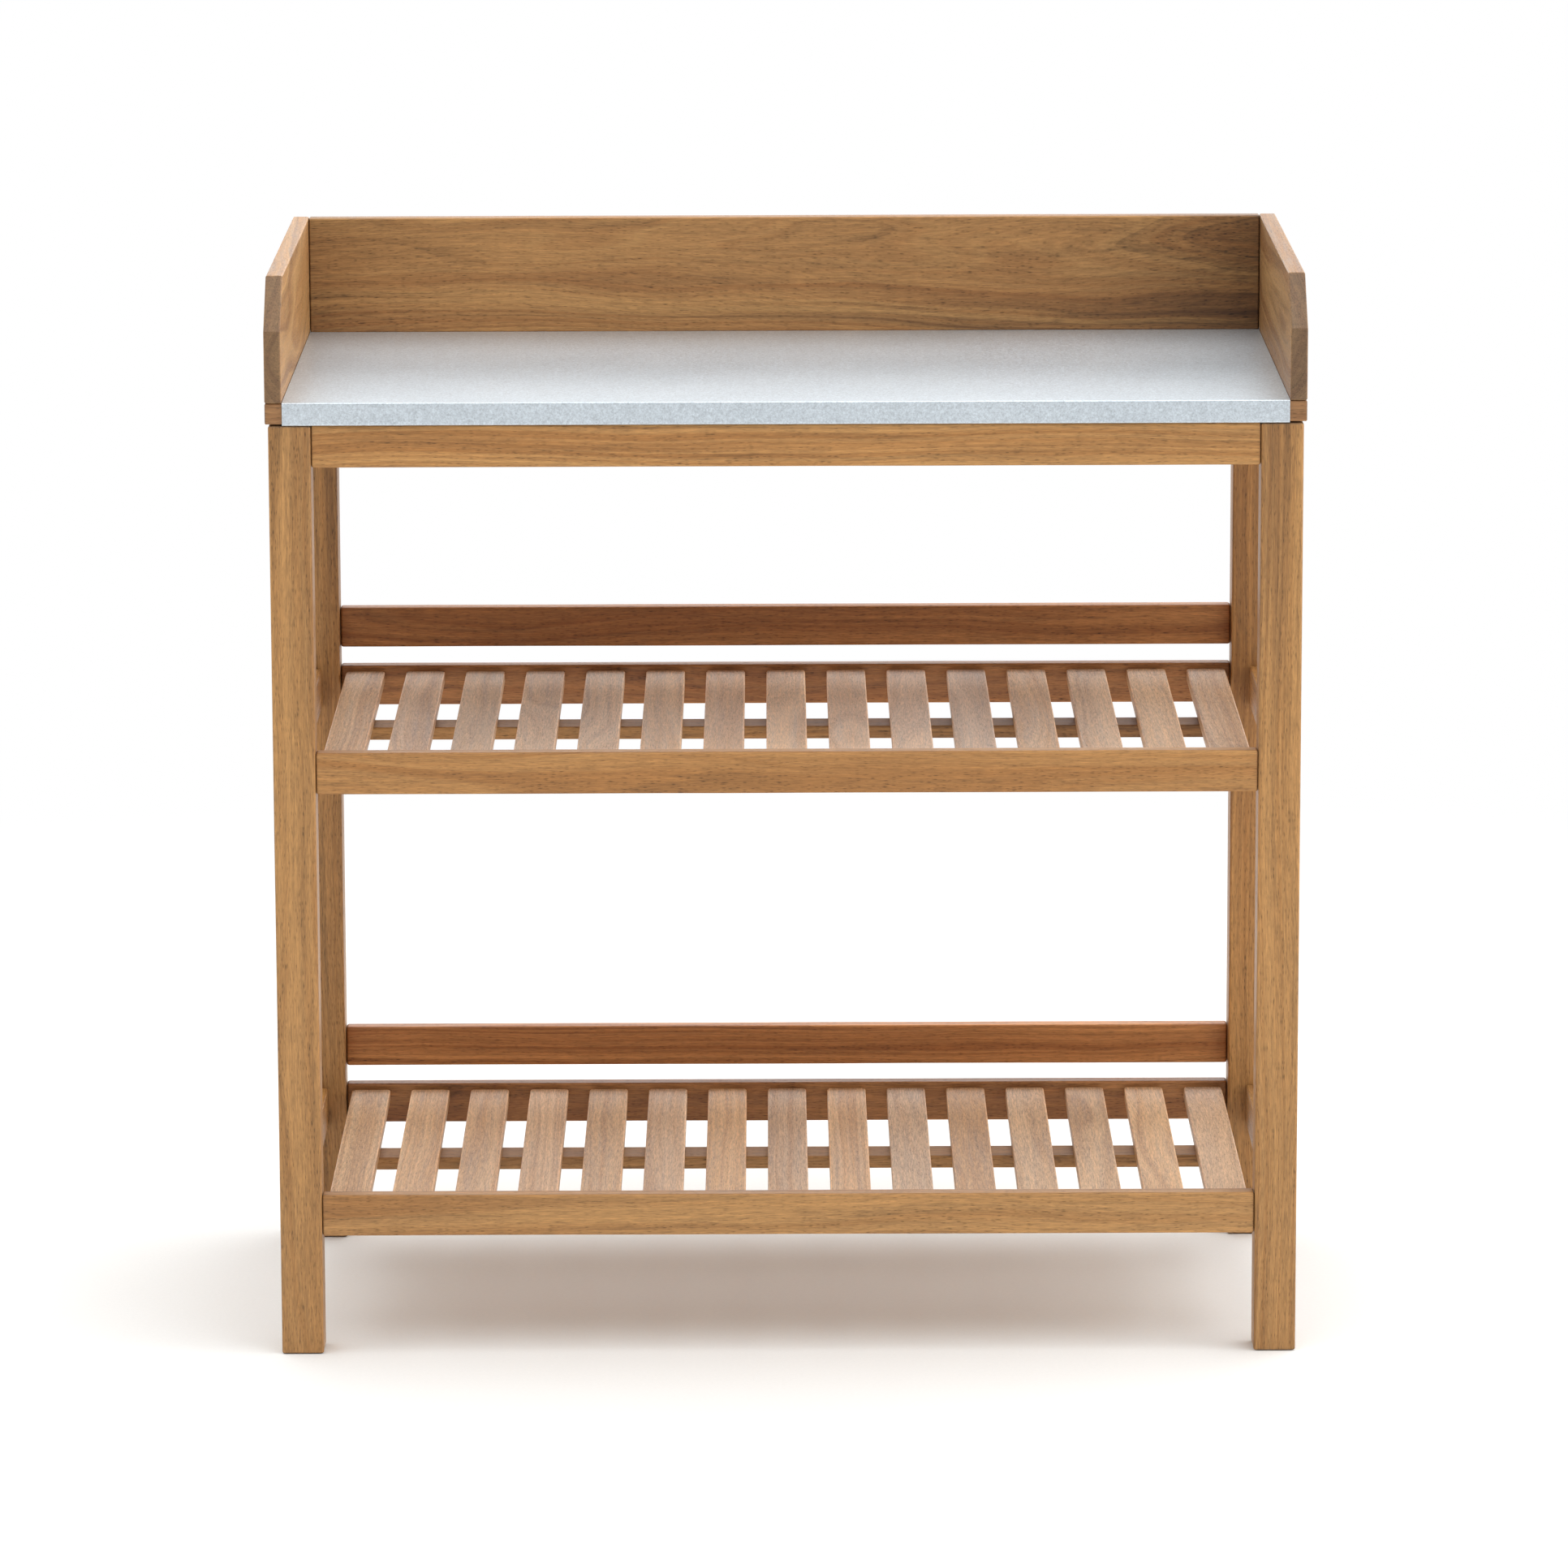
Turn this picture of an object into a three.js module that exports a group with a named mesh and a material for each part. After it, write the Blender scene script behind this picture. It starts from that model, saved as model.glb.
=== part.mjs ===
// Potting bench: four square legs, a shallow apron frame, a metal-clad worktop
// with low side boards and a backboard, and two slatted shelves, each with a
// guard rail along the back.
//
// Millimetres, +Z up, +X to the right seen from the front, front towards -Y.
// The origin is the centre of the footprint at floor level.
// Every piece is a separate closed solid; pieces that touch keep a 0.3 gap.

import * as THREE from 'three';
import { RoundedBoxGeometry } from 'three/addons/geometries/RoundedBoxGeometry.js';

// ---------------------------------------------------------------- dimensions
const GAP = 0.3;            // clearance left between touching pieces

const TOP_WIDTH = 857;      // over the outer faces of the side boards
const FRAME_WIDTH = 852;    // over the outer faces of the legs
const Y_FRONT = -218;       // front face of the worktop, the most forward face
const Y_REAR = 218;         // rear face of the worktop and the backboard
const FRAME_FRONT = -217;   // front face of the front legs
const FRAME_DEPTH = 427;    // front face of front legs to rear face of rear legs

const LEG = 35;             // side of the square leg
const LEG_TOP = 788.3;      // height of a leg
const EASE = 2;             // easing radius on frame pieces
const SLAT_EASE = 1.5;      // easing radius on slats
const SLAT_CORNER = 4;      // corner radius of a slat seen from above

const RAIL_H = 35;          // height of every rail and apron
const RAIL_T = 16;          // thickness of every rail and apron
const FRONT_SETBACK = 2;    // rail front face behind the leg front face
const REAR_SETBACK = 5;     // rear rail rear face inside the leg rear face
const SIDE_SETBACK = 3;     // side rail outer face inside the leg outer face

const UPPER_RAIL_TOP = 514; // top of the rails that carry the upper shelf
const LOWER_RAIL_TOP = 136.5;
const GUARD_GAP = 16.7;     // open gap between a back rail and its guard rail

const SLAT_COUNT = 15;
const SLAT_PITCH = 52.7;
const SLAT_W = 34;
const SLAT_T = 10;
const SLAT_DROP = 4.5;      // slat top below the top of the rails
const SLAT_REAR_GAP = 2.6;  // slat end to the face of the back rail

const MID_RAIL_D = 36;      // centre rail, laid flat under the slats
const MID_RAIL_T = 11;
const MID_RAIL_Y = -5.5;    // centre line of the centre rail
const MID_RAIL_INSET = 4;   // its ends, in from the outer edges of the outermost slats

const TOP_UNDER = LEG_TOP + GAP;   // underside of the worktop
const TOP_T = 19.2;                // worktop thickness with its metal
const SHEET_T = 0.8;               // metal sheet
const FOLD_R = 1.4;                // outer radius of the two folds at the front edge
const LIP = 9;                     // width of the metal turned in under the panel
const BOARD_T = 14;                // side boards
const BACK_T = 15.7;               // backboard thickness
const BOARD_TOP = 907.5;           // top of the side boards and backboard
const CHEEK_UPRIGHT = 866.7;       // where the sloping front of a side board starts
const CHEEK_SLOPE_Y = 42.4;        // run of that slope, front to back

// ----------------------------------------------------------------- materials
const mat = (color, roughness, metalness = 0) =>
  new THREE.MeshStandardMaterial({ color, roughness, metalness });

const LEG_WOOD = () => mat(0xb9895c, 0.55);
const RAIL_WOOD = () => mat(0xb4835a, 0.55);
const BACK_RAIL_WOOD = () => mat(0x96613c, 0.58);
const SLAT_WOOD = () => mat(0xb8977c, 0.62);
const BOARD_WOOD = () => mat(0xb88b5e, 0.55);
const PANEL_WOOD = () => mat(0xa87a4e, 0.58);
const ZINC = () => mat(0xcdd4d6, 0.42, 0.85);

// ------------------------------------------------------------------- helpers
const bench = new THREE.Group();
bench.name = 'potting_bench';

function place(name, geometry, material, x = 0, y = 0, z = 0) {
  const mesh = new THREE.Mesh(geometry, material);
  mesh.name = name;
  mesh.position.set(x, y, z);
  bench.add(mesh);
  return mesh;
}

// A board given by its lowest and highest corners, all edges eased.
function board(name, lo, hi, material, ease = EASE) {
  const s = [0, 1, 2].map((i) => hi[i] - lo[i]);
  const c = [0, 1, 2].map((i) => (hi[i] + lo[i]) / 2);
  return place(name, new RoundedBoxGeometry(s[0], s[1], s[2], 1, ease), material, ...c);
}

// Outline in (y, z), extruded along X from x0 to x1 with eased rims.
function profileX(outline, x0, x1, ease) {
  const shape = new THREE.Shape(outline.map(([y, z]) => new THREE.Vector2(y, z)));
  const g = new THREE.ExtrudeGeometry(shape, {
    depth: x1 - x0 - 2 * ease,
    bevelEnabled: ease > 0,
    bevelThickness: ease,
    bevelSize: ease,
    bevelOffset: -ease,
    bevelSegments: 2,
    curveSegments: 4,
  });
  // shape plane (x, y) -> world (y, z); extrusion axis z -> world x
  g.applyMatrix4(new THREE.Matrix4().makeBasis(
    new THREE.Vector3(0, 1, 0), new THREE.Vector3(0, 0, 1), new THREE.Vector3(1, 0, 0)));
  g.translate(x0 + ease, 0, 0);
  return g;
}

// A slat: rounded rectangle in plan, extruded upwards with eased rims.
function slat(name, x, y0, y1, z0, z1, material) {
  const w = SLAT_W / 2;
  const r = SLAT_CORNER;
  const shape = new THREE.Shape();
  shape.moveTo(x - w + r, y0);
  shape.lineTo(x + w - r, y0);
  shape.absarc(x + w - r, y0 + r, r, -Math.PI / 2, 0, false);
  shape.lineTo(x + w, y1 - r);
  shape.absarc(x + w - r, y1 - r, r, 0, Math.PI / 2, false);
  shape.lineTo(x - w + r, y1);
  shape.absarc(x - w + r, y1 - r, r, Math.PI / 2, Math.PI, false);
  shape.lineTo(x - w, y0 + r);
  shape.absarc(x - w + r, y0 + r, r, Math.PI, 1.5 * Math.PI, false);
  const g = new THREE.ExtrudeGeometry(shape, {
    depth: z1 - z0 - 2 * SLAT_EASE,
    bevelEnabled: true,
    bevelThickness: SLAT_EASE,
    bevelSize: SLAT_EASE,
    bevelOffset: -SLAT_EASE,
    bevelSegments: 1,
    curveSegments: 3,
  });
  return place(name, g, material, 0, 0, z0 + SLAT_EASE);
}

// ------------------------------------------------------------ derived planes
const LEG_OUT = FRAME_WIDTH / 2;
const LEG_IN = LEG_OUT - LEG;
const FRAME_REAR = FRAME_FRONT + FRAME_DEPTH;
const RAIL_X = LEG_IN - GAP;                        // end of front and back rails
const FRONT_RAIL = [FRAME_FRONT + FRONT_SETBACK, FRAME_FRONT + FRONT_SETBACK + RAIL_T];
const BACK_RAIL = [FRAME_REAR - REAR_SETBACK - RAIL_T, FRAME_REAR - REAR_SETBACK];
const SIDE_OUT = LEG_OUT - SIDE_SETBACK;
const SIDE_IN = SIDE_OUT - RAIL_T;
const SIDE_Y = [FRAME_FRONT + LEG + GAP, FRAME_REAR - LEG - GAP];
const APRON_Z = [LEG_TOP - RAIL_H, LEG_TOP];

// ---------------------------------------------------------------------- legs
for (const [sx, side] of [[-1, 'left'], [1, 'right']]) {
  for (const [y0, end] of [[FRAME_FRONT, 'front'], [FRAME_REAR - LEG, 'rear']]) {
    const x0 = sx < 0 ? -LEG_OUT : LEG_IN;
    board(`leg_${end}_${side}`, [x0, y0, 0], [x0 + LEG, y0 + LEG, LEG_TOP], LEG_WOOD());
  }
}

// -------------------------------------------------------------- apron frame
board('apron_front', [-RAIL_X, FRONT_RAIL[0], APRON_Z[0]], [RAIL_X, FRONT_RAIL[1], APRON_Z[1]], RAIL_WOOD());
board('apron_back', [-RAIL_X, BACK_RAIL[0], APRON_Z[0]], [RAIL_X, BACK_RAIL[1], APRON_Z[1]], BACK_RAIL_WOOD());
board('apron_left', [-SIDE_OUT, SIDE_Y[0], APRON_Z[0]], [-SIDE_IN, SIDE_Y[1], APRON_Z[1]], RAIL_WOOD());
board('apron_right', [SIDE_IN, SIDE_Y[0], APRON_Z[0]], [SIDE_OUT, SIDE_Y[1], APRON_Z[1]], RAIL_WOOD());

// ------------------------------------------------------------------- shelves
for (const [level, top] of [['upper', UPPER_RAIL_TOP], ['lower', LOWER_RAIL_TOP]]) {
  const z0 = top - RAIL_H;
  board(`${level}_rail_front`, [-RAIL_X, FRONT_RAIL[0], z0], [RAIL_X, FRONT_RAIL[1], top], RAIL_WOOD());
  board(`${level}_rail_back`, [-RAIL_X, BACK_RAIL[0], z0], [RAIL_X, BACK_RAIL[1], top], BACK_RAIL_WOOD());
  board(`${level}_rail_left`, [-SIDE_OUT, SIDE_Y[0], z0], [-SIDE_IN, SIDE_Y[1], top], RAIL_WOOD());
  board(`${level}_rail_right`, [SIDE_IN, SIDE_Y[0], z0], [SIDE_OUT, SIDE_Y[1], top], RAIL_WOOD());

  const g0 = top + GUARD_GAP;
  board(`${level}_guard_rail`, [-RAIL_X, BACK_RAIL[0], g0], [RAIL_X, BACK_RAIL[1], g0 + RAIL_H], BACK_RAIL_WOOD());

  const slatTop = top - SLAT_DROP;
  const slatUnder = slatTop - SLAT_T;
  const midEnd = (SLAT_COUNT - 1) / 2 * SLAT_PITCH + SLAT_W / 2 - MID_RAIL_INSET;
  board(`${level}_rail_centre`,
    [-midEnd, MID_RAIL_Y - MID_RAIL_D / 2, slatUnder - GAP - MID_RAIL_T],
    [midEnd, MID_RAIL_Y + MID_RAIL_D / 2, slatUnder - GAP], BACK_RAIL_WOOD());

  for (let i = 0; i < SLAT_COUNT; i += 1) {
    const x = (i - (SLAT_COUNT - 1) / 2) * SLAT_PITCH;
    slat(`${level}_slat_${String(i + 1).padStart(2, '0')}`, x,
      FRONT_RAIL[1] + GAP, BACK_RAIL[0] - SLAT_REAR_GAP, slatUnder, slatTop, SLAT_WOOD());
  }
}

// ------------------------------------------------------------------- worktop
const TOP_OUT = TOP_WIDTH / 2;
const TOP_IN = TOP_OUT - BOARD_T;
const TOP_Z = TOP_UNDER + TOP_T;                    // upper face of the metal
const PANEL_TOP = TOP_Z - SHEET_T - GAP;
const SHEET_X = TOP_IN - GAP;                       // half width of the metal and backboard

// One wooden panel as wide as the bench, its grain running left to right. The
// side boards and the backboard stand on it.
board('worktop_panel',
  [-TOP_OUT, Y_FRONT + SHEET_T + GAP, TOP_UNDER + SHEET_T + GAP],
  [TOP_OUT, Y_REAR, PANEL_TOP], PANEL_WOOD(), 1.2);

// Metal sheet: flat over the panel between the side boards and up to the
// backboard, folded down over the front edge and turned in under it.
{
  const rear = Y_REAR - BACK_T - GAP;
  const bend = (r, zc, from, n = 4) => Array.from({ length: n + 1 }, (_, i) => {
    const a = from + (i / n) * (Math.PI / 2);
    return [Y_FRONT + FOLD_R + r * Math.cos(a), zc + r * Math.sin(a)];
  });
  const upper = TOP_Z - FOLD_R;
  const lower = TOP_UNDER + FOLD_R;
  const r = FOLD_R - SHEET_T;
  const outline = [
    [rear, TOP_Z],
    ...bend(FOLD_R, upper, Math.PI / 2),
    ...bend(FOLD_R, lower, Math.PI),
    [Y_FRONT + LIP, TOP_UNDER],
    [Y_FRONT + LIP, TOP_UNDER + SHEET_T],
    ...bend(r, lower, Math.PI).reverse(),
    ...bend(r, upper, Math.PI / 2).reverse(),
    [rear, TOP_Z - SHEET_T],
  ];
  place('worktop_metal_sheet', profileX(outline, -SHEET_X, SHEET_X, 0), ZINC());
}

// Side boards: upright front edge, a sloping shoulder, then a level top.
{
  const outline = [
    [Y_FRONT, PANEL_TOP + GAP],
    [Y_REAR, PANEL_TOP + GAP],
    [Y_REAR, BOARD_TOP],
    [Y_FRONT + CHEEK_SLOPE_Y, BOARD_TOP],
    [Y_FRONT, CHEEK_UPRIGHT],
  ];
  place('side_board_left', profileX(outline, -TOP_OUT, -TOP_IN, 1.6), BOARD_WOOD());
  place('side_board_right', profileX(outline, TOP_IN, TOP_OUT, 1.6), BOARD_WOOD());
}

board('backboard', [-SHEET_X, Y_REAR - BACK_T, PANEL_TOP + GAP], [SHEET_X, Y_REAR, BOARD_TOP], BOARD_WOOD(), 1.6);

export default bench;
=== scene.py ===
import math
import random

import bmesh
import bpy
import numpy as np
from mathutils import Matrix, Vector


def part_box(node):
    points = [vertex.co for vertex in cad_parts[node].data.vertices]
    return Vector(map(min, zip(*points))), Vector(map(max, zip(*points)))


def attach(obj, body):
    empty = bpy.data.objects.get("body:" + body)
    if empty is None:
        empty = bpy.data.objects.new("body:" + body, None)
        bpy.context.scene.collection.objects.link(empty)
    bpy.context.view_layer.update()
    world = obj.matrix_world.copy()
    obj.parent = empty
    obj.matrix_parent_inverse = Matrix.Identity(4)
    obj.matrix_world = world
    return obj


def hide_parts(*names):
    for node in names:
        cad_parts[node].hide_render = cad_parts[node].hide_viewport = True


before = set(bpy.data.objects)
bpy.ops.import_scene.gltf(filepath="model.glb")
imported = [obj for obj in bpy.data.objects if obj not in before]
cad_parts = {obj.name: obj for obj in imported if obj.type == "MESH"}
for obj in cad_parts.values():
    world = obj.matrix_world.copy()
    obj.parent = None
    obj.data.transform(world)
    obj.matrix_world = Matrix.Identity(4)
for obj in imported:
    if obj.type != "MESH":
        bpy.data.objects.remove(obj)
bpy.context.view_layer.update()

scene = bpy.context.scene

# --------------------------------------------------------------------------
# Camera: long lens, level with the top of a standing person's view, looking
# slightly down at the front of the bench.
# --------------------------------------------------------------------------
cam_data = bpy.data.cameras.new("camera")
cam_data.sensor_width = 36.0
cam_data.lens = 181.744
cam_data.clip_start, cam_data.clip_end = 0.1, 200.0
camera = bpy.data.objects.new("camera", cam_data)
scene.collection.objects.link(camera)
right = Vector((0.99999233, -0.00250237, -0.00301212))
up = Vector((0.00344145, 0.19456739, 0.98088312))
back = Vector((-0.00186848, -0.98088596, 0.19457451))
rot = Matrix((right, up, back)).transposed().to_4x4()
camera.matrix_world = Matrix.Translation((-0.01481, -6.65613, 1.76457)) @ rot
scene.camera = camera

scene.view_settings.view_transform = "Standard"
scene.view_settings.look = "None"
scene.view_settings.exposure = 0.0
scene.view_settings.gamma = 1.0
scene.cycles.use_denoising = True


# --------------------------------------------------------------------------
# Small shader-graph helper
# --------------------------------------------------------------------------
class Graph:
    def __init__(self, tree):
        self.t = tree
        self.x = 0

    def node(self, kind, **props):
        n = self.t.nodes.new(kind)
        n.location = (self.x, 0)
        self.x += 40
        for k, v in props.items():
            setattr(n, k, v)
        return n

    def feed(self, socket, value):
        if value is None:
            return
        if hasattr(value, "is_output"):
            self.t.links.new(value, socket)
        else:
            socket.default_value = value

    def math(self, op, a, b=None, c=None, clamp=False):
        n = self.node("ShaderNodeMath", operation=op, use_clamp=clamp)
        self.feed(n.inputs[0], a)
        self.feed(n.inputs[1], b)
        self.feed(n.inputs[2], c)
        return n.outputs[0]

    def vec(self, op, a, b=None):
        n = self.node("ShaderNodeVectorMath", operation=op)
        self.feed(n.inputs[0], a)
        if op == "SCALE":
            self.feed(n.inputs[3], b)
        else:
            self.feed(n.inputs[1], b)
        return n.outputs["Value"] if op in ("LENGTH", "DOT_PRODUCT") else n.outputs[0]

    def split(self, v):
        n = self.node("ShaderNodeSeparateXYZ")
        self.feed(n.inputs[0], v)
        return n.outputs

    def join(self, x, y, z=0.0):
        n = self.node("ShaderNodeCombineXYZ")
        for s, v in zip(n.inputs, (x, y, z)):
            self.feed(s, v)
        return n.outputs[0]

    def noise(self, v, scale=1.0, detail=2.0, rough=0.5, out="Fac", dims="3D"):
        n = self.node("ShaderNodeTexNoise", noise_dimensions=dims)
        self.feed(n.inputs["Vector"], v)
        n.inputs["Scale"].default_value = scale
        n.inputs["Detail"].default_value = detail
        n.inputs["Roughness"].default_value = rough
        return n.outputs[out]

    def voronoi(self, v, scale=1.0, rand=1.0, out="Distance"):
        n = self.node("ShaderNodeTexVoronoi", feature="F1")
        self.feed(n.inputs["Vector"], v)
        n.inputs["Scale"].default_value = scale
        n.inputs["Randomness"].default_value = rand
        return n.outputs[out]

    def span(self, v, a, b, c=0.0, d=1.0, smooth=False):
        n = self.node("ShaderNodeMapRange", clamp=True,
                      interpolation_type="SMOOTHSTEP" if smooth else "LINEAR")
        self.feed(n.inputs[0], v)
        for i, x in zip((1, 2, 3, 4), (a, b, c, d)):
            self.feed(n.inputs[i], x)
        return n.outputs[0]

    def mix(self, f, a, b, mode="MIX"):
        n = self.node("ShaderNodeMix", data_type="RGBA", blend_type=mode, clamp_factor=True)
        self.feed(n.inputs[0], f)
        for s, v in ((n.inputs[6], a), (n.inputs[7], b)):
            if isinstance(v, tuple):
                v = (*v, 1.0)[:4]
            self.feed(s, v)
        return n.outputs[2]

    def attr(self, name):
        n = self.node("ShaderNodeAttribute", attribute_name=name)
        return n


def srgb(r, g, b):
    def f(c):
        c /= 255.0
        return c / 12.92 if c <= 0.04045 else ((c + 0.055) / 1.055) ** 2.4
    return (f(r), f(g), f(b))


# --------------------------------------------------------------------------
# Oiled hardwood. Every piece carries its own place in the log in a mesh
# attribute: x runs along the grain, (y, z) is the offset from the pith.
# --------------------------------------------------------------------------
def wood(name, light, mid, dark, band=1.0, streak=1.0, pore=1.0, rough=0.45, edge=0.05,
         bump=0.4, fuzz=1.0, cut=0.34, wave=0.030, line=1.0):
    m = bpy.data.materials.new(name)
    m.use_nodes = True
    t = m.node_tree
    g = Graph(t)
    out = t.nodes["Material Output"]
    bsdf = t.nodes["Principled BSDF"]

    place = g.attr("grain").outputs["Vector"]
    tone = g.split(g.attr("tone").outputs["Vector"])
    rim_wear_and_highlight = g.attr("rim_wear_and_highlight").outputs["Fac"]
    endcut = g.attr("cut").outputs["Fac"]
    u, v, w = g.split(place)

    # slow wander of the grain, then a finer ripple
    p1 = g.join(g.math("MULTIPLY", u, 1.9), g.math("MULTIPLY", v, 9.0), g.math("MULTIPLY", w, 9.0))
    n1 = g.vec("SUBTRACT", g.noise(p1, 1.0, 2.0, 0.5, "Color"), (0.5, 0.5, 0.5))
    p2 = g.join(g.math("MULTIPLY", u, 9.0), g.math("MULTIPLY", v, 30.0), g.math("MULTIPLY", w, 30.0))
    n2 = g.vec("SUBTRACT", g.noise(p2, 1.0, 2.0, 0.5, "Color"), (0.5, 0.5, 0.5))
    wander = g.vec("ADD", g.vec("MULTIPLY", n1, (0.0, wave, wave)),
                   g.vec("MULTIPLY", n2, (0.0, 0.0018, 0.0018)))
    q = g.vec("ADD", place, wander)
    qu, qv, qw = g.split(q)

    ring = g.vec("LENGTH", g.join(qv, qw, 0.0))
    # growth bands, fine and broad, drifting slowly along the piece
    b1 = g.noise(g.join(g.math("MULTIPLY", ring, 300.0), g.math("MULTIPLY", qu, 0.9)), 1.0, 4.0, 0.62, dims="2D")
    b2 = g.noise(g.join(g.math("MULTIPLY", ring, 70.0), g.math("MULTIPLY", qu, 0.7), 3.3), 1.0, 3.0, 0.5)
    bands = g.span(g.math("ADD", g.math("MULTIPLY", b1, 0.5), g.math("MULTIPLY", b2, 0.5)), 0.40, 0.60)
    # ring boundaries: each band darkens slowly and ends in a thin line
    phase = g.math("ADD", g.math("MULTIPLY", ring, 150.0), g.math("MULTIPLY", b2, 5.0))
    saw = g.math("FRACT", phase)
    saw = g.math("MULTIPLY", g.math("POWER", saw, 5.0), g.span(saw, 0.97, 1.0, 1.0, 0.0))
    vary = g.span(g.noise(g.join(g.math("FLOOR", phase), g.math("MULTIPLY", qu, 1.3)), 3.7, 1.0, 0.5, dims="2D"),
                  0.40, 0.62, 0.05, 1.0)
    saw = g.math("MULTIPLY", saw, vary)
    # rarer dark heartwood streaks
    s1 = g.noise(g.join(g.math("MULTIPLY", ring, 40.0), g.math("MULTIPLY", qu, 0.6), 7.9), 1.0, 3.0, 0.55)
    s2 = g.noise(g.join(g.math("MULTIPLY", ring, 450.0), g.math("MULTIPLY", qu, 2.4), 1.7), 1.0, 3.0, 0.6)
    streaks = g.math("MULTIPLY", g.span(s1, 0.51, 0.66, smooth=True),
                     g.span(s2, 0.25, 0.62, 0.30, 1.0))

    # fibres at two scales, then open pores: fine short ones and fewer long ones
    f1 = g.noise(g.join(g.math("MULTIPLY", qu, 5.0), g.math("MULTIPLY", qv, 260.0), g.math("MULTIPLY", qw, 260.0)),
                 1.0, 3.0, 0.6)
    f2 = g.noise(g.join(g.math("MULTIPLY", qu, 75.0), g.math("MULTIPLY", qv, 1000.0), g.math("MULTIPLY", qw, 1000.0)),
                 1.0, 3.0, 0.65)

    def pore_field(along, across, lo, hi, keep_lo, keep_hi):
        pv = g.join(g.math("MULTIPLY", qu, along), g.math("MULTIPLY", qv, across), g.math("MULTIPLY", qw, across))
        near = g.voronoi(pv)
        pick = g.split(g.voronoi(pv, out="Color"))[0]
        return g.math("MULTIPLY", g.span(near, lo, hi, 1.0, 0.0), g.span(pick, keep_lo, keep_hi))

    short = pore_field(170.0, 740.0, 0.16, 0.42, 0.35, 0.70)
    long_ = pore_field(75.0, 480.0, 0.10, 0.28, 0.60, 0.85)
    pores = g.math("ADD", g.math("MULTIPLY", short, 0.75), g.math("MULTIPLY", long_, 0.8), clamp=True)
    pores = g.math("MULTIPLY", pores, g.span(b1, 0.35, 0.65, 1.0, 0.35))

    col = g.mix(bands, mid, light)
    col = g.mix(g.math("MULTIPLY", streaks, g.math("MULTIPLY", tone[2], 0.9 * streak)), col, dark)
    # end grain mixed towards a duller grey-brown: its own colour, and partly a painted sheen on the sloped front ends
    col = g.mix(g.math("MULTIPLY", endcut, 0.40), col, srgb(142, 118, 94))
    shade = g.math("ADD", g.math("MULTIPLY", g.math("SUBTRACT", f1, 0.5), 0.75 * band),
                   g.math("MULTIPLY", g.math("SUBTRACT", f2, 0.5), 1.35 * fuzz))
    # tone x is each piece's own lightness, and on some pieces also painted shade and light set per piece
    shade = g.math("ADD", g.math("ADD", shade, 1.055), tone[0])
    shade = g.math("SUBTRACT", shade, g.math("MULTIPLY", pores, 0.64 * pore))
    shade = g.math("SUBTRACT", shade, g.math("MULTIPLY", saw, 0.26 * line))
    # eased edges and ends lightened: partly wear, partly a painted highlight where light catches the rounding
    shade = g.math("MULTIPLY", shade, g.math("ADD", 1.0, g.math("MULTIPLY", rim_wear_and_highlight, edge)))
    shade = g.math("MULTIPLY", shade, g.math("SUBTRACT", 1.0, g.math("MULTIPLY", endcut, cut)))
    col = g.vec("SCALE", col, shade)
    # warmer or greyer from piece to piece
    warm = g.join(g.math("ADD", 1.0, g.math("MULTIPLY", tone[1], 0.08)), 1.0,
                  g.math("SUBTRACT", 1.0, g.math("MULTIPLY", tone[1], 0.22)))
    col = g.vec("MULTIPLY", col, warm)
    g.feed(bsdf.inputs["Base Color"], col)

    r = g.math("ADD", rough, g.math("MULTIPLY", g.math("SUBTRACT", f1, 0.5), 0.25))
    r = g.math("ADD", r, g.math("MULTIPLY", endcut, 0.12))
    r = g.math("ADD", r, g.math("MULTIPLY", pores, 0.18), clamp=True)
    g.feed(bsdf.inputs["Roughness"], r)

    height = g.math("SUBTRACT", g.math("MULTIPLY", f2, 0.5), g.math("MULTIPLY", pores, 0.8))
    bn = g.node("ShaderNodeBump")
    bn.inputs["Strength"].default_value = bump
    bn.inputs["Distance"].default_value = 0.0003
    g.feed(bn.inputs["Height"], height)
    g.feed(bsdf.inputs["Normal"], bn.outputs[0])
    bsdf.inputs["IOR"].default_value = 1.48
    t.links.new(bsdf.outputs[0], out.inputs[0])
    return m


WOODS = {
    "leg_wood": wood("leg_wood", srgb(178, 132, 79), srgb(153, 106, 56), srgb(88, 56, 32)),
    "rail_wood": wood("rail_wood", srgb(180, 134, 80), srgb(154, 106, 56), srgb(90, 57, 32)),
    # back_rail_wood is a darker, redder copy of the rail wood for the pieces at the back: painted shade
    "back_rail_wood": wood("back_rail_wood", srgb(180, 125, 74), srgb(146, 92, 48), srgb(80, 46, 26)),
    # slat_wood is paler than the other woods: partly its own colour, partly a painted sheen for the grazing
    # reflection on the slat tops; its strong edge value paints highlight lines on the slat edges
    "slat_wood": wood("slat_wood", srgb(203, 166, 128), srgb(176, 136, 99), srgb(120, 90, 66), rough=0.47,
                      edge=0.32, pore=0.65, line=0.3, band=0.9, fuzz=1.25),
    "board_wood": wood("board_wood", srgb(174, 130, 79), srgb(147, 100, 55), srgb(78, 48, 27), cut=0.44, wave=0.055, streak=1.2),
    "panel_wood": wood("panel_wood", srgb(160, 118, 76), srgb(134, 92, 55), srgb(84, 54, 34), rough=0.52),
}


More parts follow.
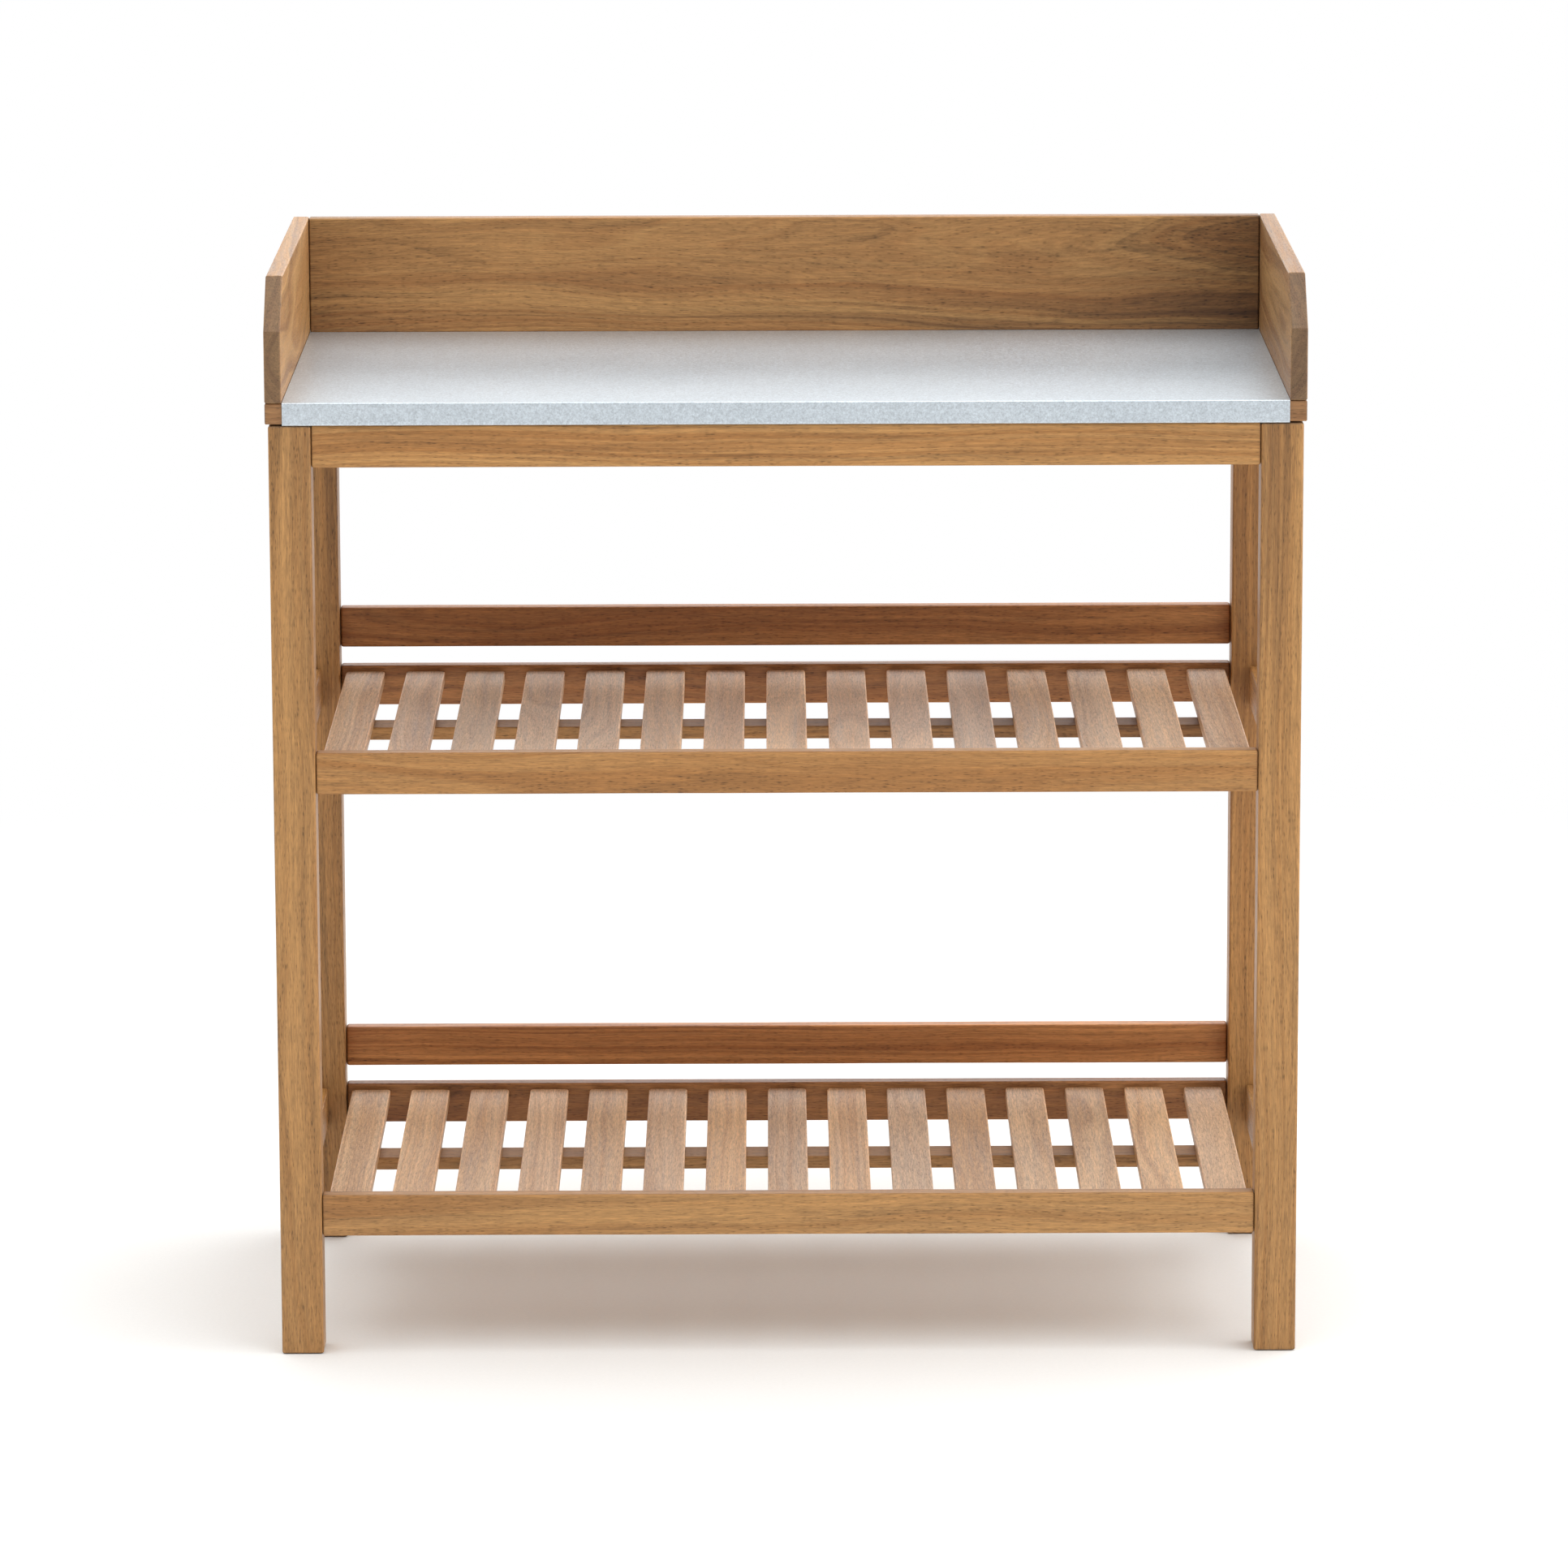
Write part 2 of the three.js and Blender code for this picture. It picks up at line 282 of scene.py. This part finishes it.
# --------------------------------------------------------------------------
# Dull galvanised sheet
# --------------------------------------------------------------------------
def zinc(name):
    m = bpy.data.materials.new(name)
    m.use_nodes = True
    t = m.node_tree
    g = Graph(t)
    bsdf = t.nodes["Principled BSDF"]
    place = g.attr("grain").outputs["Vector"]
    cloud = g.noise(place, 9.0, 3.0, 0.5)
    spangle = g.noise(place, 420.0, 4.0, 0.65)
    grit = g.noise(place, 700.0, 2.0, 0.65)
    cell = g.split(g.voronoi(place, 260.0, 1.0, "Color"))[0]
    speck = g.span(g.voronoi(place, 330.0, 1.0), 0.05, 0.16, 1.0, 0.0)
    pick = g.span(g.split(g.voronoi(place, 330.0, 1.0, "Color"))[1], 0.80, 0.86)
    speck = g.math("MULTIPLY", speck, pick)
    val = g.math("ADD", g.math("MULTIPLY", g.math("SUBTRACT", spangle, 0.5), 0.65),
                 g.math("MULTIPLY", g.math("SUBTRACT", grit, 0.5), 0.70))
    val = g.math("ADD", val, g.math("MULTIPLY", g.math("SUBTRACT", cell, 0.5), 0.05))
    val = g.math("ADD", val, g.math("MULTIPLY", g.math("SUBTRACT", cloud, 0.5), 0.05))
    val = g.math("SUBTRACT", g.math("ADD", val, 1.0), g.math("MULTIPLY", speck, 0.30))
    col = g.vec("SCALE", g.mix(cloud, srgb(203, 212, 219), srgb(211, 219, 225)), val)
    g.feed(bsdf.inputs["Base Color"], col)
    bsdf.inputs["Metallic"].default_value = 0.75
    rgh = g.math("ADD", 0.42, g.math("MULTIPLY", g.math("SUBTRACT", spangle, 0.5), 0.35), clamp=True)
    g.feed(bsdf.inputs["Roughness"], rgh)
    bn = g.node("ShaderNodeBump")
    bn.inputs["Strength"].default_value = 0.40
    bn.inputs["Distance"].default_value = 0.0002
    g.feed(bn.inputs["Height"], g.math("ADD", g.math("MULTIPLY", spangle, 0.7), g.math("MULTIPLY", grit, 0.5)))
    g.feed(bsdf.inputs["Normal"], bn.outputs[0])
    return m


ZINC = zinc("galvanised_sheet")


# --------------------------------------------------------------------------
# Mesh builders
# --------------------------------------------------------------------------
def wobble(rng, n, step, size):
    """A smooth random line of n values, about size in height."""
    knots = max(4, int(n * step) + 3)
    k = np.array([rng.uniform(-1, 1) for _ in range(knots)])
    x = np.linspace(0, knots - 1, n)
    i = np.minimum(x.astype(int), knots - 2)
    f = x - i
    f = f * f * (3 - 2 * f)
    return (k[i] * (1 - f) + k[i + 1] * f) * size


def finish_mesh(name, verts, faces, grain, rim_wear_and_highlight, cut, tone, material, nodes):
    me = bpy.data.meshes.new(name)
    me.from_pydata([tuple(p) for p in verts], [], faces)
    bm = bmesh.new()
    bm.from_mesh(me)
    bmesh.ops.recalc_face_normals(bm, faces=bm.faces)
    bm.to_mesh(me)
    bm.free()
    a = me.attributes.new("grain", "FLOAT_VECTOR", "POINT")
    a.data.foreach_set("vector", np.asarray(grain, np.float32).ravel())
    a = me.attributes.new("tone", "FLOAT_VECTOR", "POINT")
    a.data.foreach_set("vector", np.broadcast_to(np.asarray(tone, np.float32), (len(verts), 3)).ravel())
    a = me.attributes.new("rim_wear_and_highlight", "FLOAT", "POINT")
    a.data.foreach_set("value", np.asarray(rim_wear_and_highlight, np.float32).ravel())
    a = me.attributes.new("cut", "FLOAT", "POINT")
    a.data.foreach_set("value", np.asarray(cut, np.float32).ravel())
    me.shade_smooth()
    me.materials.append(material)
    ob = bpy.data.objects.new(name, me)
    scene.collection.objects.link(ob)
    mod = ob.modifiers.new("even_normals", "WEIGHTED_NORMAL")
    mod.mode = "FACE_AREA"
    mod.weight = 90
    mod.keep_sharp = False
    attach(ob, "root")
    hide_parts(*nodes)
    return ob


def rest_of(axis, size):
    """The two axes across a piece, the wider first."""
    a = [i for i in range(3) if i != axis]
    return (a[0], a[1]) if size[a[0]] >= size[a[1]] else (a[1], a[0])


def log_place(rng, flat=0.5):
    """Where the pith lies from the middle of a piece: (across the wide face, through it)."""
    far = rng.uniform(0.07, 0.16)
    if rng.random() < flat:
        turn = rng.uniform(-0.45, 0.45)            # wide face cut along the rings
    else:
        turn = math.pi / 2 + rng.uniform(-0.5, 0.5)  # wide face cut across the rings
    sign = rng.choice((-1, 1))
    return sign * far * math.sin(turn), sign * far * math.cos(turn)


def plank(node, axis, slot, ease=0.0020, plan=None, tone=(0, 0, 0.6), flat=0.5, pith=None, spread=1.0,
          painted_top_sheen=0.0, painted_end_shading=None):
    """A board that fills its node's box, its length along axis, every edge eased by hand.

    The face that looks up can be lightened, a painted sheen. The ends can be darkened, given as (depth, reach) at the
    low end, then at the high end: painted shade, and painted light where the depth is negative."""
    rng = random.Random("bench " + node)
    lo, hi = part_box(node)
    size = [hi[i] - lo[i] for i in range(3)]
    va, wa = rest_of(axis, size)
    length, hw, hh = size[axis], size[va] / 2, size[wa] / 2
    plan = plan or ease
    thetas = [math.radians(15 * k) for k in range(7)]
    ends = sorted({round(plan * (1 - math.cos(t)), 7) for t in thetas}
                  | {round(ease * (1 - math.cos(t)), 7) for t in thetas})
    inner = list(np.linspace(ends[-1], length - ends[-1], max(4, int(length / 0.030))))[1:-1]
    stations = ends + inner + [length - e for e in reversed(ends)]
    n = len(stations)
    seg = 4
    soft = [wobble(rng, n, 0.35, 0.22) for _ in range(4)]   # easing varies along each edge

    def inset(s, r):
        return 0.0 if s >= r else r - math.sqrt(max(0.0, r * r - (r - s) ** 2))

    verts, rim_wear_and_highlight, cut = [], [], []
    ring_n = 4 * (seg + 1)
    for i, s in enumerate(stations):
        d = min(s, length - s)
        iw, ih = inset(d, plan), inset(d, ease)
        endness = 0.0 if d >= ease else math.sin(2 * math.asin(min(1.0, max(0.0, 1 - d / ease))))
        for c, (sa, sb) in enumerate(((1, 1), (-1, 1), (-1, -1), (1, -1))):
            r = max(ease * (1 + soft[c][i]) - ih, 0.00012)
            r = min(r, ease * 1.25)
            ca, cb = sa * (hw - iw - r), sb * (hh - ih - r)
            start = {(1, 1): 0, (-1, 1): 90, (-1, -1): 180, (1, -1): 270}[(sa, sb)]
            for k in range(seg + 1):
                an = math.radians(start + 90 * k / seg)
                p = [0.0, 0.0, 0.0]
                p[axis] = lo[axis] + s
                p[va] = (lo[va] + hi[va]) / 2 + ca + r * math.cos(an)
                p[wa] = (lo[wa] + hi[wa]) / 2 + cb + r * math.sin(an)
                verts.append(p)
                # edge weight, high on the rounding: worn edges and a painted highlight
                rim_wear_and_highlight.append(max(math.sin(math.pi * k / seg), endness))
                cut.append(min(1.0, max(0.0, 1.25 - 1.6 * d / ease)))
    faces = []
    for i in range(n - 1):
        for j in range(ring_n):
            a, b = i * ring_n + j, i * ring_n + (j + 1) % ring_n
            faces.append((a, b, b + ring_n, a + ring_n))
    faces.append(tuple(range(ring_n - 1, -1, -1)))
    faces.append(tuple((n - 1) * ring_n + j for j in range(ring_n)))

    v = np.array(verts)
    mid = [(lo[i] + hi[i]) / 2 for i in range(3)]
    pv, pw = pith if pith else log_place(rng, flat)
    grain = np.stack([v[:, axis] - mid[axis] + rng.uniform(0, 40) * 0.1,
                      v[:, va] - mid[va] - pv, v[:, wa] - mid[wa] - pw], 1)
    t = (tone[0] + spread * rng.uniform(-0.075, 0.075), tone[1] + spread * rng.uniform(-0.5, 0.5),
         min(1.0, max(0.0, tone[2] + spread * rng.uniform(-0.3, 0.4))))
    # painted sheen: the up-facing face is lightened in place of the grazing reflection and light from behind
    if painted_top_sheen:
        up = v[:, 2] > hi[2] - 0.2 * ease
        rim_wear_and_highlight = np.where(up, np.maximum(rim_wear_and_highlight, painted_top_sheen), rim_wear_and_highlight)
    # painted shade: the wood darkens towards either end; a negative depth paints light instead
    if painted_end_shading:
        (d0, r0), (d1, r1) = painted_end_shading
        t = np.tile(np.array(t), (len(v), 1))
        t[:, 0] -= d0 * np.clip(1 - (v[:, axis] - lo[axis]) / r0, 0, 1) ** 1.5
        t[:, 0] -= d1 * np.clip(1 - (hi[axis] - v[:, axis]) / r1, 0, 1) ** 1.5
    return finish_mesh(node + "_fine", verts, faces, grain, rim_wear_and_highlight, cut, t, WOODS[slot], [node])


def rounded_outline(points, inset, radius, seg=3):
    """The convex outline moved in by inset, its corners rounded."""
    n = len(points)
    pts = [Vector(p) for p in points]
    area = sum(pts[i].x * pts[(i + 1) % n].y - pts[(i + 1) % n].x * pts[i].y for i in range(n))
    if area < 0:
        pts.reverse()
    lines = []
    for i in range(n):
        d = (pts[(i + 1) % n] - pts[i]).normalized()
        nrm = Vector((-d.y, d.x))
        lines.append((pts[i] + nrm * inset, d))
    out = []
    r = max(radius - inset, 0.0002)
    for i in range(n):
        (p0, d0), (p1, d1) = lines[i - 1], lines[i]
        den = d0.x * d1.y - d0.y * d1.x
        t = ((p1.x - p0.x) * d1.y - (p1.y - p0.y) * d1.x) / den
        corner = p0 + d0 * t
        turn = math.acos(max(-1, min(1, d0.dot(d1))))
        back_off = r * math.tan(turn / 2)
        centre = corner - d0 * back_off + Vector((-d0.y, d0.x)) * r
        a0 = math.atan2(-d0.x, d0.y)
        a0 = math.atan2((corner - d0 * back_off - centre).y, (corner - d0 * back_off - centre).x)
        for k in range(seg + 1):
            a = a0 + turn * k / seg
            out.append((centre.x + r * math.cos(a), centre.y + r * math.sin(a), min(1.0, 2 * math.cos(a) ** 2)))
    return out


def side_board(node, slot, tone):
    rng = random.Random("bench " + node)
    lo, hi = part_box(node)
    upright, slope = 0.8667, 0.0424
    outline = [(lo.y, lo.z), (hi.y, lo.z), (hi.y, hi.z), (lo.y + slope, hi.z), (lo.y, upright)]
    ease, seg = 0.0016, 4
    layers = []
    for k in range(seg + 1):
        t = math.radians(90 * k / seg)
        layers.append((lo.x + ease * (1 - math.cos(t)), ease * (1 - math.sin(t)), math.sin(2 * t)))
    layers += [(hi.x - (x - lo.x), i, e) for x, i, e in reversed(layers)]
    rings = [rounded_outline(outline, i, 0.0022) for _, i, _ in layers]
    m = len(rings[0])
    verts = [(x, y, z) for (x, _, _), ring in zip(layers, rings) for y, z, _ in ring]
    # edge weight, high on the rounding: worn edges and a painted highlight
    rim_wear_and_highlight = [e for _, _, e in layers for _ in range(m)]
    cut = [c * (1 - i / ease) for (_, i, _), ring in zip(layers, rings) for _, _, c in ring]
    faces = [(i * m + j, i * m + (j + 1) % m, (i + 1) * m + (j + 1) % m, (i + 1) * m + j)
             for i in range(len(layers) - 1) for j in range(m)]
    faces += [tuple(range(m)), tuple((len(layers) - 1) * m + j for j in range(m))]
    v = np.array(verts)
    mid = (lo + hi) / 2
    pv, pw = log_place(rng, 0.8)
    grain = np.stack([v[:, 1] - mid.y + rng.uniform(0, 4), v[:, 2] - mid.z - pv, v[:, 0] - mid.x - pw], 1)
    return finish_mesh(node + "_fine", verts, faces, grain, rim_wear_and_highlight, cut, tone, WOODS[slot], [node])


def metal_sheet(node):
    """Flat sheet with a tight fold down the front, turned in under the panel."""
    lo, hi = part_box(node)
    t, r, lip = 0.0008, 0.0014, 0.009
    y0, top, bottom, rear = lo.y, hi.z, lo.z, hi.y
    dip = 0.00015          # the top rolls over very slightly towards the fold
    outer, inner = [], []
    for y in np.concatenate([np.linspace(rear, y0 + 0.05, 12), np.linspace(y0 + 0.046, y0 + r, 12)]):
        d = dip * max(0.0, 1 - (y - y0) / 0.045) ** 2
        outer.append((y, top - d))
        inner.append((y, top - t - d))
    for k in range(1, 8):
        c, q = math.cos(math.radians(90 + 90 * k / 8)), math.sin(math.radians(90 + 90 * k / 8))
        outer.append((y0 + r + r * c, top - dip - r + r * q))
        inner.append((y0 + r + (r - t) * c, top - dip - r + (r - t) * q))
    for z in np.linspace(top - dip - r, bottom + r, 8):
        outer.append((y0, z))
        inner.append((y0 + t, z))
    for k in range(1, 8):
        c, q = math.cos(math.radians(180 + 90 * k / 8)), math.sin(math.radians(180 + 90 * k / 8))
        outer.append((y0 + r + r * c, bottom + r + r * q))
        inner.append((y0 + r + (r - t) * c, bottom + r + (r - t) * q))
    for y in np.linspace(y0 + r, y0 + lip, 4):
        outer.append((y, bottom))
        inner.append((y, bottom + t))
    loop = outer + inner[::-1]
    xs = np.linspace(lo.x, hi.x, 42)
    m = len(loop)
    verts = [(x, y, z) for x in xs for y, z in loop]
    faces = [(i * m + j, i * m + (j + 1) % m, (i + 1) * m + (j + 1) % m, (i + 1) * m + j)
             for i in range(len(xs) - 1) for j in range(m)]
    k = len(outer)
    for base in (0, (len(xs) - 1) * m):
        for j in range(k - 1):
            faces.append((base + j, base + j + 1, base + m - 2 - j, base + m - 1 - j))
    v = np.array(verts)
    nil = [0.0] * len(v)
    return finish_mesh(node + "_fine", verts, faces, v + np.array([3.0, 5.0, 7.0]), nil, nil, (0, 0, 0),
                       ZINC, [node])


# --------------------------------------------------------------------------
# The bench
# --------------------------------------------------------------------------
# Legs are darkened towards the feet, painted shade; the rear right leg is lightened towards its top, painted light,
# and the rear left leg's lower tone is painted shade.
plank("leg_front_left", 2, "leg_wood", 0.0020, tone=(-0.05, 0.12, 0.55), spread=0.3,
      painted_end_shading=((0.09, 0.60), (0.0, 0.1)))
plank("leg_front_right", 2, "leg_wood", 0.0020, tone=(-0.02, 0.25, 0.75), spread=0.3,
      painted_end_shading=((0.12, 0.60), (0.0, 0.1)))
plank("leg_rear_left", 2, "leg_wood", 0.0020, tone=(-0.10, 0.15, 0.6), spread=0.3,
      painted_end_shading=((0.14, 0.60), (0.0, 0.1)))
plank("leg_rear_right", 2, "leg_wood", 0.0020, tone=(0.02, 0.20, 0.6), spread=0.3,
      painted_end_shading=((0.22, 0.60), (-0.22, 0.60)))
plank("apron_front", 0, "rail_wood", 0.0018, tone=(0.02, 0.1, 0.3), spread=0.3)
plank("apron_back", 0, "back_rail_wood", 0.0018)
plank("apron_left", 1, "rail_wood", 0.0018)
plank("apron_right", 1, "rail_wood", 0.0018)
# guard: the upper guard rail is darkened under the worktop, painted shade, and the lower one lightened, painted light
for level, front, guard in (("upper", 0.08, -0.10), ("lower", -0.09, 0.10)):
    plank(f"{level}_rail_front", 0, "rail_wood", 0.0020, tone=(front, 0.10, 0.45), spread=0.3)
    # the back rails are darkened, a painted contact shadow where the slat ends meet them
    plank(f"{level}_rail_back", 0, "back_rail_wood", 0.0020, tone=(-0.16, 0.1, 0.5), spread=0.5)
    # the guard rails' top faces carry a painted sheen
    plank(f"{level}_guard_rail", 0, "back_rail_wood", 0.0022, tone=(guard, 0.1, 0.7), spread=0.3, painted_top_sheen=7.5)
    plank(f"{level}_rail_centre", 0, "rail_wood", 0.0014, tone=(-0.16, 0.0, 0.7), spread=0.4)
    plank(f"{level}_rail_left", 1, "rail_wood", 0.0020)
    plank(f"{level}_rail_right", 1, "rail_wood", 0.0020)
    for i in range(1, 16):
        # lower slats darkened overall and more towards the right, painted shade; the second value sets warmth
        painted_slat_shade_and_warmth = (0.0, -0.15) if level == "upper" else (-0.06 - 0.012 * max(0, i - 8), 0.30)
        plank(f"{level}_slat_{i:02d}", 1, "slat_wood", 0.0015, plan=0.0040,
              tone=(painted_slat_shade_and_warmth[0], painted_slat_shade_and_warmth[1], 0.35), flat=0.6, spread=1.1)
plank("worktop_panel", 0, "panel_wood", 0.0012, tone=(-0.03, 0.0, 0.4), spread=0.0)
side_board("side_board_left", "board_wood", (0.10, -0.1, 0.35))
side_board("side_board_right", "board_wood", (-0.06, -0.3, 0.6))
# backboard darkened towards both ends: painted shade in the corners beside the side boards
plank("backboard", 0, "board_wood", 0.0016, tone=(0.01, 0.25, 1.0), flat=1.0, pith=(0.035, 0.085), spread=0.0,
      painted_end_shading=((0.30, 0.15), (0.48, 0.20)))
metal_sheet("worktop_metal_sheet")


# --------------------------------------------------------------------------
# Floor, light and surroundings
# --------------------------------------------------------------------------
def floor():
    me = bpy.data.meshes.new("floor")
    s = 40.0
    me.from_pydata([(-s, -s, 0), (s, -s, 0), (s, s, 0), (-s, s, 0)], [], [(0, 1, 2, 3)])
    ob = bpy.data.objects.new("floor", me)
    ob.location.z = -0.0004
    scene.collection.objects.link(ob)
    m = bpy.data.materials.new("floor_paper")
    m.use_nodes = True
    t = m.node_tree
    g = Graph(t)
    t.nodes.remove(t.nodes["Principled BSDF"])
    co = g.node("ShaderNodeTexCoord").outputs["Object"]
    dif = g.node("ShaderNodeBsdfDiffuse")
    grain = g.noise(co, 320.0, 3.0, 0.6)
    g.feed(dif.inputs["Color"], g.vec("SCALE", (0.922, 0.930, 0.918), g.span(grain, 0.3, 0.7, 0.985, 1.015)))
    em = g.node("ShaderNodeEmission")
    em.inputs["Color"].default_value = (1, 1, 1, 1)
    em.inputs["Strength"].default_value = 1.0
    d = g.vec("LENGTH", g.vec("MULTIPLY", co, (0.8, 1.0, 0.0)))
    mixer = g.node("ShaderNodeMixShader")
    g.feed(mixer.inputs[0], g.span(d, 0.9, 2.2, smooth=True))
    t.links.new(dif.outputs[0], mixer.inputs[1])
    t.links.new(em.outputs[0], mixer.inputs[2])
    t.links.new(mixer.outputs[0], t.nodes["Material Output"].inputs[0])
    me.materials.append(m)


floor()

world = bpy.data.worlds.new("surround")
scene.world = world
world.use_nodes = True
wt = world.node_tree
wg = Graph(wt)
bgn = wt.nodes["Background"]
direction = wg.node("ShaderNodeTexCoord").outputs["Generated"]
dx, dy, dz = wg.split(direction)
flat = wg.math("SQRT", wg.math("ADD", wg.math("MULTIPLY", dx, dx), wg.math("MULTIPLY", dy, dy)))
hx, hy = wg.math("DIVIDE", dx, flat), wg.math("DIVIDE", dy, flat)
top = wg.span(dz, 0.5, 0.75, 0.0, 1.0, smooth=True)
low = wg.math("SUBTRACT", 1.0, top)
behind = wg.math("MULTIPLY", wg.span(dz, 0.30, 0.50, 1.0, 0.0, smooth=True),
                 wg.span(hy, 0.60, 0.85, 0.0, 1.0, smooth=True))
right_side = wg.math("MULTIPLY", low, wg.span(hx, 0.3, 0.7, 0.0, 1.0, smooth=True))
left_side = wg.math("MULTIPLY", low, wg.span(hx, -0.3, -0.7, 0.0, 1.0, smooth=True))
glow = wg.math("ADD", 0.262, wg.math("MULTIPLY", behind, 1.92))
glow = wg.math("ADD", glow, wg.math("MULTIPLY", top, 1.286))
glow = wg.math("ADD", glow, wg.math("MULTIPLY", right_side, 1.28))
glow = wg.math("ADD", glow, wg.math("MULTIPLY", left_side, 0.224))
seen = wg.node("ShaderNodeLightPath").outputs["Is Camera Ray"]
wg.feed(bgn.inputs["Strength"], wg.math("ADD", wg.math("MULTIPLY", glow, wg.math("SUBTRACT", 1.0, seen)),
                                        wg.math("MULTIPLY", seen, 1.05)))
bgn.inputs["Color"].default_value = (1.0, 1.0, 1.0, 1.0)


def softbox(name, at, to, w, h, power, color=(1, 1, 1)):
    l = bpy.data.lights.new(name, "AREA")
    l.shape = "RECTANGLE"
    l.size, l.size_y = w, h
    l.energy = power
    l.color = color
    ob = bpy.data.objects.new(name, l)
    ob.location = at
    ob.rotation_euler = (Vector(to) - Vector(at)).to_track_quat("-Z", "Y").to_euler()
    ob.visible_camera = False
    scene.collection.objects.link(ob)
    return ob


softbox("overhead", (0.45, 0.15, 2.9), (0.0, 0.0, 0.3), 2.0, 1.4, 5.9)
softbox("overhead_front", (0.35, -0.6, 2.9), (0.0, 0.0, 0.3), 2.0, 1.4, 1.6)
softbox("key_front", (0.5, -2.4, 3.2), (0.0, 0.0, 0.5), 2.4, 1.4, 3.8)
softbox("key_low", (0.9, -4.6, 1.9), (0.0, 0.0, 0.5), 2.6, 2.0, 3.2)
softbox("side_right", (3.0, -0.6, 1.5), (0.0, 0.0, 0.5), 1.6, 2.0, 13.3)
softbox("side_left", (-3.0, -0.6, 1.5), (0.0, 0.0, 0.5), 1.6, 2.0, 4.5)
